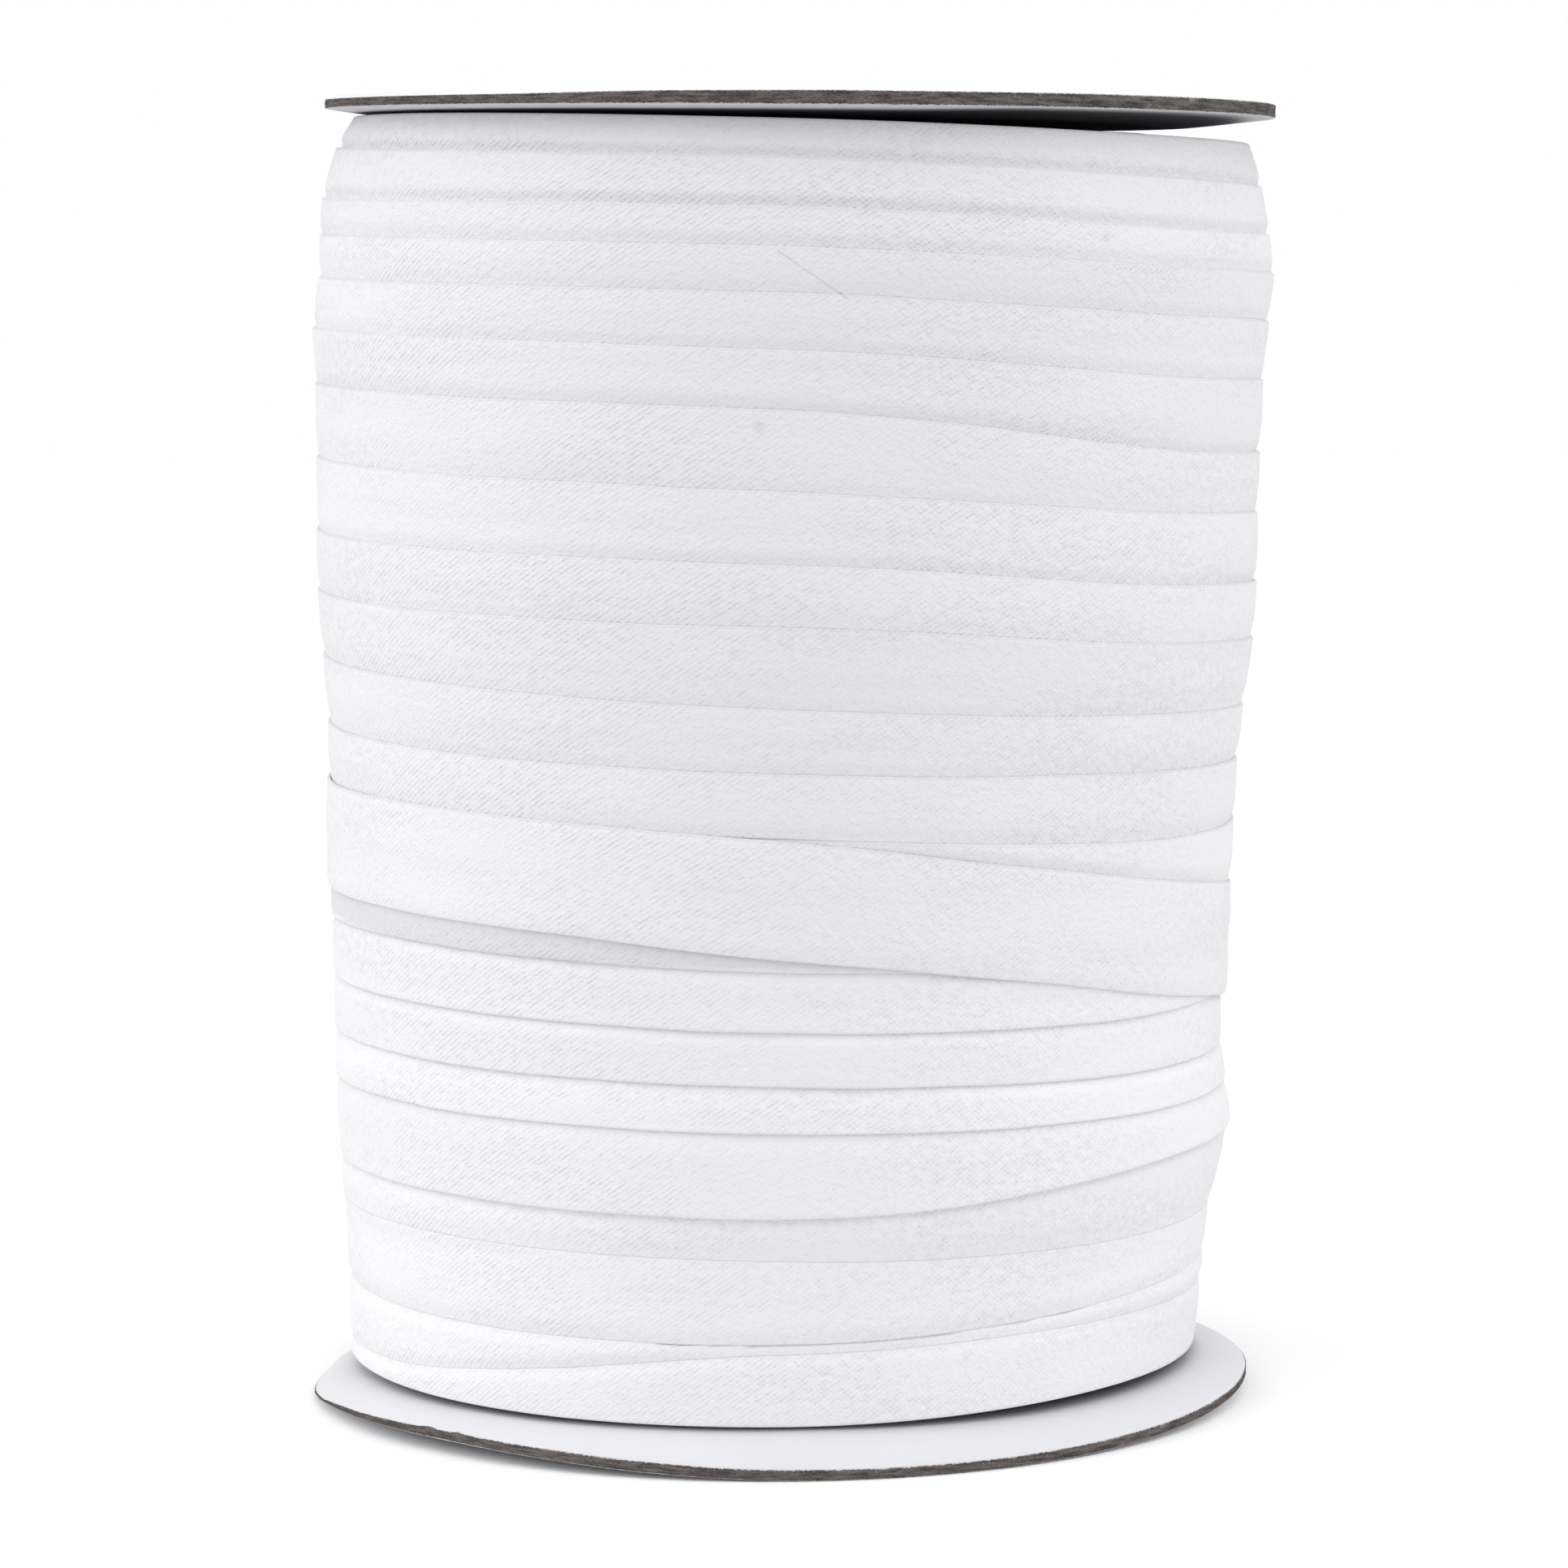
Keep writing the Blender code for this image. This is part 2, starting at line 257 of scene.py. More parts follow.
def newMaterial(name, settings):
    material = bpy.data.materials.new(name)
    material.use_nodes = True
    shader = material.node_tree.nodes["Principled BSDF"]
    for socket, value in settings.items():
        shader.inputs[socket].default_value = value
    return material, material.node_tree, shader


# Shared effects

weaveShape = {
    "driftScale": 420.0,        # of the threads' wandering
    "risingShare": 0.74,        # how much more the rising threads show
    "overSwing": 0.15,          # how much that changes where threads cross
    "toneStretch": 0.12,        # the tone changes slowly along a rising thread
}


def makeBiasWeave():
    # two crossing sets of threads on the slant: x runs along the tape and y up it, in metres
    group, given, result = makeGroup("biasWeave", [
        ("Coord", "Vector", None), ("Rising Pitch", "Float", 0.0005), ("Falling Pitch", "Float", 0.0005),
        ("Rising Angle", "Float", 34.0), ("Falling Angle", "Float", 42.0), ("Wander", "Float", 0.00006),
    ], ["Height", "Thread Tone"])
    coord = given.outputs["Coord"]
    drift = noiseNode(group, coord, weaveShape["driftScale"])
    bent = mathNode(group, "MULTIPLY", mathNode(group, "SUBTRACT", drift, 0.5), given.outputs["Wander"])
    split = splitNode(group, coord)
    ridges = []
    phases = []
    for sense, angleName, pitchName in ((-1.0, "Rising Angle", "Rising Pitch"),
                                        (1.0, "Falling Angle", "Falling Pitch")):
        angle = mathNode(group, "RADIANS", given.outputs[angleName])
        along = mathNode(group, "MULTIPLY", split[0], mathNode(group, "SINE", angle))
        along = mathNode(group, "MULTIPLY", along, sense)
        up = mathNode(group, "MULTIPLY", split[1], mathNode(group, "COSINE", angle))
        place = mathNode(group, "ADD", mathNode(group, "ADD", along, up), bent)
        phase = mathNode(group, "DIVIDE", place, given.outputs[pitchName])
        wave = mathNode(group, "COSINE", mathNode(group, "MULTIPLY", phase, 2.0 * math.pi))
        ridges.append(mathNode(group, "MULTIPLY_ADD", wave, 0.5, 0.5))
        phases.append(phase)
    # threads pass over and under each other, the rising ones showing more
    crossing = mathNode(group, "MULTIPLY", phases[0], math.pi)
    crossing = mathNode(group, "ADD", crossing, mathNode(group, "MULTIPLY", phases[1], math.pi))
    crossing = mathNode(group, "COSINE", crossing)
    over = mathNode(group, "MULTIPLY_ADD", crossing, weaveShape["overSwing"], weaveShape["risingShare"])
    rising = mathNode(group, "MULTIPLY", ridges[0], over)
    falling = mathNode(group, "MULTIPLY", ridges[1], mathNode(group, "SUBTRACT", 1.0, over))
    group.links.new(mathNode(group, "ADD", rising, falling), result.inputs["Height"])
    byThread = joinNode(group, phases[0], mathNode(group, "MULTIPLY", phases[1], weaveShape["toneStretch"]))
    group.links.new(noiseNode(group, byThread, 1.0, 1.0), result.inputs["Thread Tone"])
    return group


def makeSoftClouds():
    # slow patches, stretched along x, from 0 to 1
    group, given, result = makeGroup("softClouds", [
        ("Coord", "Vector", None), ("Scale", "Float", 40.0), ("Stretch", "Float", 1.0),
        ("Low", "Float", 0.35), ("High", "Float", 0.65),
    ], ["Mask"])
    shape = joinNode(group, mathNode(group, "DIVIDE", 1.0, given.outputs["Stretch"]), 1.0, 1.0)
    spread = vectorNode(group, "MULTIPLY", given.outputs["Coord"], shape)
    patches = noiseNode(group, spread, given.outputs["Scale"], 3.0, 0.55)
    mask = rangeNode(group, patches, given.outputs["Low"], given.outputs["High"])
    group.links.new(mask, result.inputs["Mask"])
    return group


biasWeave = makeBiasWeave()
softClouds = makeSoftClouds()


def cloudMask(tree, coord, settings):
    return placeGroup(tree, softClouds, {"Coord": coord, **settings}).outputs["Mask"]


# The tape's cloth

clothLook = {
    "colour": (0.85, 0.851, 0.866, 1.0),
    "shade": (0.69, 0.69, 0.725, 1.0),        # between the threads and in the smudges, and the colour that the painted shade and shadow mix towards
    "paintedGapShade": (0.42, 0.42, 0.445, 1.0),          # painted shadow: the inner layers are darkened so the gaps beside them read as shadow
    "roughness": 0.92,
    "sheen": 0.25,
    "sheenRoughness": 0.45,
    "specular": 0.25,
    "threadPitch": (0.53, 0.48),              # of the rising and the falling threads
    "threadAngle": (34.0, 42.0),
    "threadDepth": 0.11,
    "threadShade": 0.45,
    "threadTones": 0.3,                       # how far the threads differ from each other
    "grainDepth": 0.15,
    "grainScale": 1500.0,
    # where the weave shows: how strongly at least, and how much more in a patch
    "patches": {"Scale": 90.0, "Stretch": 3.0},
    "patchStrength": (0.25, 0.55),
    "fresh": {"Scale": 1000.0, "Stretch": 1.3, "Low": 0.36, "High": 0.64},
    "freshStrength": (0.15, 0.85),
    "broad": {"Scale": 28.0, "Stretch": 5.0},
    "broadShade": 0.16,
    "topShade": (136.0, 151.0, 0.5),          # painted shade towards the top board, where its overhang shades the tape: heights, strength
    "pressShade": 0.75,                       # painted shadow where it runs in under the last turn's overhanging edge
    "foldShade": 0.7,                         # painted shade on the rounded folds of the upper wraps, dimming the light they catch
    "foldRise": (-0.4, -0.12),                # up the tape, from its top edge
    "foldFall": (0.0, 0.04),
    # a pulled thread on the front: its ends are a direction and a height
    "pulledThread": {
        "start": (268.6, 136.3), "end": (276.2, 131.3), "reach": 56.6, "half": 0.09, "fade": 0.36,
        "height": 0.1,
    },
    # faint grey smudges on the front: direction, height, distance from the axis, radius, strength
    "smudges": [
        (308.0, 138.2, 56.6, 1.2, 0.45), (266.5, 117.0, 56.0, 1.1, 0.5), (264.0, 92.0, 55.7, 1.0, 0.4),
        (295.0, 12.5, 51.4, 1.0, 0.5),
    ],
    "smudgeCore": 0.2,                        # share of the radius that is fully grey
}
flattenDepth = Vector((1.0, 0.15, 1.0))       # so that the exact depth of the surface hardly counts


def weaveStrength(tree, coord):
    least, more = clothLook["patchStrength"]
    strength = mathNode(tree, "MULTIPLY_ADD", cloudMask(tree, coord, clothLook["patches"]), more, least)
    least, more = clothLook["freshStrength"]
    fresh = mathNode(tree, "MULTIPLY_ADD", cloudMask(tree, coord, clothLook["fresh"]), more, least)
    return mathNode(tree, "MULTIPLY", strength, fresh)


# where the painted shade lies on the rounded top folds of the upper wraps
def foldMask(tree, upTape):
    rise = rangeNode(tree, upTape, *(place * mm for place in clothLook["foldRise"]))
    fall = rangeNode(tree, upTape, *(place * mm for place in clothLook["foldFall"]), 1.0, 0.0)
    return mathNode(tree, "MULTIPLY", rise, fall)


def pulledThreadMask(tree, position):
    pulled = clothLook["pulledThread"]
    start = windingPoint(pulled["reach"], *pulled["start"])
    run = (windingPoint(pulled["reach"], *pulled["end"]) - start) * flattenDepth
    fromStart = vectorNode(tree, "MULTIPLY", vectorNode(tree, "SUBTRACT", position, start), flattenDepth)
    share = vectorNode(tree, "DOT_PRODUCT", fromStart, run / run.length_squared)
    share = mathNode(tree, "MINIMUM", mathNode(tree, "MAXIMUM", share, 0.0), 1.0)
    nearest = tree.nodes.new("ShaderNodeVectorMath")
    nearest.operation = "SCALE"
    nearest.inputs[0].default_value = run
    tree.links.new(share, nearest.inputs["Scale"])
    beside = vectorNode(tree, "DISTANCE", fromStart, nearest.outputs[0])
    return rangeNode(tree, beside, pulled["half"] * mm, pulled["fade"] * mm, 1.0, 0.0)


def makeCloth(name, colour):
    # tapeCoord holds the length along the tape, the height up it, and the share of painted shadow where it
    # runs in under the last turn
    look = clothLook
    material, tree, shader = newMaterial(name, {
        "Roughness": look["roughness"], "Sheen Weight": look["sheen"],
        "Sheen Roughness": look["sheenRoughness"], "Specular IOR Level": look["specular"],
    })
    coord = attributeNode(tree, "tapeCoord")
    position = placeNode(tree)
    onTape = splitNode(tree, coord)
    weave = placeGroup(tree, biasWeave, {
        "Coord": coord,
        "Rising Pitch": look["threadPitch"][0] * mm, "Falling Pitch": look["threadPitch"][1] * mm,
        "Rising Angle": look["threadAngle"][0], "Falling Angle": look["threadAngle"][1],
    })
    strength = weaveStrength(tree, coord)
    gaps = mathNode(tree, "SUBTRACT", 1.0, weave.outputs["Height"])
    shade = mathNode(tree, "MULTIPLY", gaps, mathNode(tree, "MULTIPLY", strength, look["threadShade"]))
    spread = look["threadTones"]
    tones = mathNode(tree, "MULTIPLY_ADD", weave.outputs["Thread Tone"], spread, -spread / 2.0)
    shade = mathNode(tree, "ADD", shade, mathNode(tree, "MULTIPLY", tones, strength))
    shade = mathNode(tree, "MULTIPLY_ADD", cloudMask(tree, coord, look["broad"]), look["broadShade"], shade)
    # painted shade: the tape turns greyer towards the top board, whose overhang shades it
    low, high, strong = look["topShade"]
    upRoll = splitNode(tree, position)[2]
    shade = mathNode(tree, "ADD", shade, rangeNode(tree, upRoll, low * mm, high * mm, 0.0, strong))
    # painted shadow where the tape runs in under the last turn
    shade = mathNode(tree, "MULTIPLY_ADD", onTape[2], look["pressShade"] / mm, shade)
    # painted shade on the rounded folds
    shade = mathNode(tree, "MULTIPLY_ADD", foldMask(tree, onTape[1]), look["foldShade"], shade)
    for direction, height, reach, radius, strong in look["smudges"]:
        away = vectorNode(tree, "DISTANCE", position, windingPoint(reach, direction, height))
        spot = rangeNode(tree, away, look["smudgeCore"] * radius * mm, radius * mm, strong, 0.0)
        shade = mathNode(tree, "ADD", shade, spot)
    tree.links.new(mixColour(tree, shade, colour, look["shade"]), shader.inputs["Base Color"])
    grain = noiseNode(tree, coord, look["grainScale"], 2.0, 0.6)
    normal = bumpNode(tree, grain, look["grainDepth"] * mm)
    normal = bumpNode(tree, pulledThreadMask(tree, position), look["pulledThread"]["height"] * mm, normal)
    height = mathNode(tree, "MULTIPLY", weave.outputs["Height"], strength)
    normal = bumpNode(tree, height, look["threadDepth"] * mm, normal)
    tree.links.new(normal, shader.inputs["Normal"])
    return material


cloth = makeCloth("whiteBiasCloth", clothLook["colour"])
# a darker copy of the cloth for the inner layers: painted shadow in the gaps
gapShadedCloth = makeCloth("gapShadedBiasCloth", clothLook["paintedGapShade"])
print("cloth ready")


# The wraps of the tape. A pass of the tape is read at stations, so many to a turn. Depth runs
# from the edge that shows towards the edge that the next turn hides.

tape = {
    "width": 12.8,
    "thickness": 0.5,
    "turnLength": 2.0 * math.pi * 55.0,     # of one turn, about
    "columns": 160,             # stations to a turn
    "firstTurn": -0.7,          # where the first one starts, in turns from the back
    "leastSpan": 2.0,           # that is shaped as showing
    "airGap": 0.02,             # between two layers
    "pinch": 1.5,               # how far before the next edge the surface dips
    "pinchShare": 0.7,          # but no more than this share of what shows
    "looseDip": 0.15,           # the dip before an edge that nothing lies on
    "reliefs": (0.16, 0.12),    # soft steps over the hidden edges one and two turns under it
    "reliefSpread": 2.6,
    "reliefFade": 1.5,          # how far from the edges a step fades out
    "crown": 0.05,
    "edgeWaver": 0.1,
    "edgeWaves": ((1, 17.0, 1.0), (2, 4.5, 0.4)),       # seed, length, share
    "surfaceWaver": 0.05,
    "surfaceWaves": (13.0, 5.0),                        # lengths along and across
    "softEnd": 2.0,             # softness at which an edge's drop is least
    "softShare": 0.6,           # of the least drop that softness takes away
    "softSink": 0.04,           # how far a soft edge sinks below its drop
    "pressReach": 6.0,          # height over which the surface is pressed in
    "pressStart": 0.1,          # share of that before it begins
    "pressShadowFade": 0.6,           # height over which the painted shadow there comes in
}

upperWraps = {
    "name": "upperWraps",
    "side": 1.0,                # top edges show, each turn lies below the one before
    "leastDrop": 0.27,          # from an edge's face down to the face that runs in under it
    "dropShare": 0.4,           # of the rest of the step
    "lastStation": 13.91,       # where the tape ends, in turns from the back
    # how wide it is at a turn, tucked in where the last turn covers the one before
    "widths": [(0.0, 12.8), (12.0, 12.8), (12.2, 11.4), (12.4, 11.2), (12.6, 12.6), (12.9, 12.8)],
    "limit": closedCurve(spool["windingTop"]),
    # heights of the top edge at the left, front and right, radius left and right below it,
    # and its step out there left and right
    "edges": [
        (154.0, 153.5, 152.0, 51.7, 53.8, 0.3, 0.3),
        (147.0, 146.4, 144.9, 53.9, 55.4, 1.2, 0.7),
        (141.3, 141.0, 139.2, 55.5, 56.4, 0.8, 0.7),
        (137.0, 136.6, 134.8, 55.7, 57.1, 0.4, 0.6),
        (132.1, 131.6, 129.3, 55.8, 56.6, 0.4, 0.4),
        (126.1, 125.4, 122.4, 56.5, 56.1, 0.6, 0.4),
        (119.6, 118.8, 114.0, 56.1, 55.9, 0.4, 0.8),
        (110.9, 109.9, 107.0, 55.9, 55.8, 0.45, 0.4),
        (102.4, 101.9, 98.8, 55.9, 55.9, 0.5, 0.8),
        (95.3, 95.0, 92.2, 55.7, 55.6, 0.45, 0.4),
        (87.4, 85.9, 84.2, 55.0, 54.6, 0.4, 0.4),
        (79.5, 78.7, 77.7, 54.3, 54.0, 0.4, 0.4),
        (72.2, 71.5, 69.9, 54.1, 53.8, 0.4, 0.4),
    ],
    # the last turn lies over everything: direction, bottom edge, top edge, radius
    "lastTurn": [
        (90, 58.8, 71.6, 54.0), (120, 59.2, 72.1, 54.2), (160, 60.2, 73.0, 54.4),
        (180, 60.4, 73.1, 54.4), (210, 60.4, 73.0, 54.35), (240, 59.9, 72.5, 54.15),
        (270, 58.0, 71.3, 54.1), (300, 55.2, 68.1, 53.8), (330, 51.2, 64.6, 53.5),
        (360, 48.6, 62.2, 53.6), (390, 47.4, 61.2, 53.6), (420, 46.9, 60.6, 53.8),
    ],
    "lastStep": 0.55,
    "cutLength": 11.0,          # the end is cut on the slant
    "cutTurns": 0.08,           # turns before the end that the slant takes
    "endLift": 0.2,
    "pressed": [],
}

lowerWraps = {
    "name": "lowerWraps",
    "side": -1.0,               # bottom edges show, each turn lies above the one before
    "leastDrop": 0.3,
    "dropShare": 1.0,
    "lastStation": 9.4,
    "widths": [(0.0, 12.8), (9.9, 12.8)],
    "limit": closedCurve(spool["windingBottom"]),
    # the same columns for the bottom edge, and how softly it ends
    "edges": [
        (-1.0, -0.5, 0.5, 50.9, 50.4, 0.3, 0.3, 0.0),
        (7.0, 13.1, 14.8, 51.0, 51.0, 0.3, 0.2, 1.6),
        (13.7, 14.4, 17.4, 51.2, 51.3, 0.3, 0.2, 1.6),
        (23.5, 23.9, 24.0, 52.1, 51.9, 0.15, 0.15, 3.2),
        (28.5, 28.9, 33.0, 52.4, 54.2, 0.4, 0.7, 0.0),
        (38.1, 38.5, 38.6, 53.0, 53.5, 0.4, 0.4, 0.0),
        (43.6, 43.7, 43.2, 53.2, 52.8, 0.4, 0.4, 0.0),
        (50.0, 49.8, 49.6, 53.4, 52.8, 0.4, 0.4, 0.0),
        (57.1, 56.6, 56.1, 53.7, 52.8, 0.4, 0.4, 0.0),
        (64.0, 63.5, 63.0, 53.9, 52.8, 0.35, 0.35, 0.0),
    ],
    "lastTurn": [],
    "cutLength": 0.0,           # its end is hidden
    "cutTurns": 0.08,
    "endLift": 0.0,
    # above these heights the upper wraps press it in: direction, height, how far
    "pressed": [
        (0, 48.8, 0.5), (20, 51.5, 0.6), (40, 55.5, 0.6), (58, 57.8, 0.6), (66, 58.6, 0.6),
        (90, 58.8, 0.6), (120, 58.8, 0.5), (160, 58.0, 0.3), (210, 57.0, 0.2), (240, 56.7, 0.2),
        (262, 56.65, 0.3), (275, 56.5, 0.7), (287, 56.2, 0.9), (300, 55.1, 0.5), (330, 51.2, 0.4),
    ],
}

sectionShares = {
    "shown": [0.0, 0.05, 0.13, 0.23, 0.34, 0.45, 0.56, 0.67, 0.78, 0.89],
    "pinched": [0.0, 0.28, 0.52, 0.74, 0.9, 1.0],
    "hidden": [0.12, 0.35, 0.65],
    "inside": [0.75, 0.5, 0.25],
    "edgeAngles": [50.0, 0.0, -50.0],
}
frontSpread = 1.0 / 6.0             # the left and right columns lie this far off the front


def readCurves(plan):
    # height, radius, step, softness and width along the tape, over the turns from the back
    heights = []
    radii = []
    steps = []
    softs = []
    widths = list(plan["widths"])
    for turn, row in enumerate(plan["edges"]):
        left, front, right, radiusLeft, radiusRight, stepLeft, stepRight = row[:7]
        for share, height in ((-frontSpread, left), (0.0, front), (frontSpread, right)):
            heights.append((turn + 0.5 + share, height))
        radii += [(turn + 0.25, radiusLeft), (turn + 0.75, radiusRight)]
        steps += [(turn + 0.25, stepLeft), (turn + 0.75, stepRight)]
        softs.append((turn + 0.5, row[7] if len(row) > 7 else 0.0))
    turnsBefore = len(plan["edges"])
    for direction, bottom, top, radius in plan["lastTurn"]:
        turned = turnsBefore + (direction - 90.0) / fullTurn
        heights.append((turned, top))
        radii.append((turned, radius))
        steps.append((turned, plan["lastStep"]))
        widths.append((turned, top - bottom))
    return [curveThrough(knots) for knots in (heights, radii, steps, softs, widths)]


def readStations(plan):
    curves = readCurves(plan)
    columns = tape["columns"]
    keep = min if plan["side"] > 0 else max
    count = int((plan["lastStation"] - tape["firstTurn"]) * columns) + 1
    stations = []
    for i in range(count):
        turned = tape["firstTurn"] + i / columns
        direction = 90.0 + fullTurn * turned
        height, radius, step, soft, width = (curve(turned) for curve in curves)
        along = turned * tape["turnLength"]
        waves = sum(share * waver(seed, along / length) for seed, length, share in tape["edgeWaves"])
        height = keep(height + tape["edgeWaver"] * waves, plan["limit"](direction))
        least = plan["leastDrop"] * (1.0 - tape["softShare"] * easeStep(soft / tape["softEnd"]))
        stations.append({
            "turned": turned, "direction": direction, "along": along, "height": height,
            "radius": radius, "soft": soft, "width": width,
            "drop": least + plan["dropShare"] * max(step - least, 0.0),
        })
    for i, station in enumerate(stations):
        station["over"] = stations[i + columns] if i + columns < count else None
        station["shown"] = station["width"]
        if station["over"]:
            station["shown"] = plan["side"] * (station["height"] - station["over"]["height"])
        station["hiddenEdges"] = []
        for turns, drop in enumerate(tape["reliefs"], start=1):
            under = i - turns * columns
            if under >= 0:
                apart = plan["side"] * (stations[under]["height"] - station["height"])
                station["hiddenEdges"].append((tape["width"] - apart, drop))
    return stations


def reliefAt(station, depth):
    fallen = 0.0
    fade = tape["reliefFade"]
    for place, drop in station["hiddenEdges"]:
        inside = easeStep((station["shown"] - place) / fade) * easeStep(place / fade)
        share = (depth - place) / tape["reliefSpread"] + 0.5
        fallen += drop * inside * easeStep(share)
    return fallen


def outerRadius(station, depth):
    over = station["over"]
    shown = station["shown"]
    if over and depth > shown:
        return outerRadius(over, depth - shown) - max(over["drop"], tape["thickness"]) - tape["airGap"]
    radius = station["radius"] - reliefAt(station, depth)
    alongWave, acrossWave = tape["surfaceWaves"]
    radius += tape["surfaceWaver"] * waver(3, station["along"] / alongWave, depth / acrossWave)
    span = max(shown, tape["leastSpan"])
    radius += tape["crown"] * 4.0 * depth / span * (1.0 - depth / span)
    if over:
        pinch = min(tape["pinch"], tape["pinchShare"] * span)
        left = over["drop"] - reliefAt(station, shown)
        radius += (over["radius"] - station["radius"]) * depth / span
        radius -= left * easeStep((depth - shown) / pinch + 1.0)
    else:
        radius -= tape["looseDip"] * easeStep((depth - shown) / tape["pinch"] + 1.0)
    if station["soft"] > 0.0:
        sunk = 1.0 - easeStep(depth / station["soft"])
        radius -= (station["drop"] + tape["softSink"]) * sunk * easeStep(station["soft"])
    return radius


def sectionOf(station):
    # closed section of the tape: (depth, radius) pairs, out along the shown face and back inside
    half = tape["thickness"] / 2.0
    width = station["width"]
    span = min(max(station["shown"], tape["leastSpan"]), width - tape["leastSpan"])
    pinch = min(tape["pinch"], tape["pinchShare"] * span)
    flat = span - pinch - half
    rest = width - span - 2.0 * half
    depths = [half + share * flat for share in sectionShares["shown"]]
    depths += [span - pinch + share * pinch for share in sectionShares["pinched"]]
    depths += [span + half]
    depths += [span + half + share * rest for share in sectionShares["hidden"]]
    depths += [width - half]
    section = [(depth, outerRadius(station, depth)) for depth in depths]
    foot = section[-1][1] - half
    for angle in sectionShares["edgeAngles"]:
        turn = math.radians(angle)
        section.append((width - half + half * math.cos(turn), foot + half * math.sin(turn)))
    for share in [1.0] + sectionShares["inside"] + [0.0]:
        depth = half + share * (width - 2.0 * half)
        section.append((depth, outerRadius(station, depth) - tape["thickness"]))
    head = section[0][1] - half
    for angle in reversed(sectionShares["edgeAngles"]):
        turn = math.radians(angle)
        section.append((half - half * math.cos(turn), head + half * math.sin(turn)))
    return section


def makeWraps(plan):
    stations = readStations(plan)
    if plan["pressed"]:
        pressedFrom = closedCurve([(row[0], row[1]) for row in plan["pressed"]])
        pressDepth = closedCurve([(row[0], row[2]) for row in plan["pressed"]])
    points = []
    coords = []
    for station in stations:
        toEnd = (plan["lastStation"] - station["turned"]) / plan["cutTurns"]
        slant = easeStep(1.0 - toEnd)
        for depth, radius in sectionOf(station):
            height = station["height"] - plan["side"] * depth
            pressed = 0.0
            if plan["pressed"]:
                above = height - pressedFrom(station["direction"])
                share = easeStep(above / tape["pressReach"] - tape["pressStart"])
                radius -= pressDepth(station["direction"]) * share
                # share of painted shadow where the tape runs in under the last turn
                pressed = easeStep(above / tape["pressShadowFade"])
            radius += plan["endLift"] * slant ** 3
            cutBack = slant * plan["cutLength"] * depth / station["width"]
            direction = station["direction"] - fullTurn * cutBack / tape["turnLength"]
            points.append(windingPoint(radius, direction, height))
            coords.append(((station["along"] - cutBack) * mm, -plan["side"] * depth * mm, pressed * mm))
    around = len(points) // len(stations)
    faces = bridgeFaces(len(stations), around)
    faces.append(tuple(range(around)))
    faces.append(tuple(reversed(range(len(points) - around, len(points)))))
    piece = addPiece(plan["name"], points, faces, [cloth], coords, "tapeCoord")
    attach(piece, "root")
    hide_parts("wound_tape")
    print(plan["name"], len(piece.data.polygons), "faces")


makeWraps(upperWraps)
makeWraps(lowerWraps)


# The layers inside: hidden but for the edges of the outer layers at the two ends

innerLayers = {
    "columns": 180,
    "layerStep": 0.55,
    "topOuter": 53.0,
    "bottomOuter": 50.0,
    "flatRadius": 41.0,
    "ledge": 3.2,               # width of the last layers' edges
    "topSlope": 9.0,            # from the ledge to where the end lies flat along a board
    "bottomSlope": 5.0,
    "below": 0.15,              # how far the layers' edges stay inside the winding's ends
    "groove": 0.3,              # between two layers
    "layerEdge": ((0.05, 0.0), (0.3, 0.0), (0.45, 1.0)),    # inset and share of the groove
    "raggedness": 0.35,
    "raggedWaves": 2.2,
    "topSeed": 10,
    "bottomSeed": 50,
    # height, radius of the wall behind the wraps
    "wall": [
        (12.0, 49.9), (25.0, 50.4), (50.0, 51.0), (75.0, 51.8), (105.0, 53.2), (135.0, 53.4),
        (146.0, 52.9),
    ],
    # direction, how far the upper end draws in
    "drawnIn": [
        (0, 0.2), (60, 0.4), (120, 1.2), (180, 2.2), (210, 2.2), (240, 1.6), (270, 0.9), (310, 0.3),
    ],
    "drawnFrom": (115.0, 30.0), # the height where that begins, and over what height it grows
    "boardTop": 4.65,           # middle of the bottom board's upper face
    "capDepth": 0.5,            # of the closed middle, inside each end
}


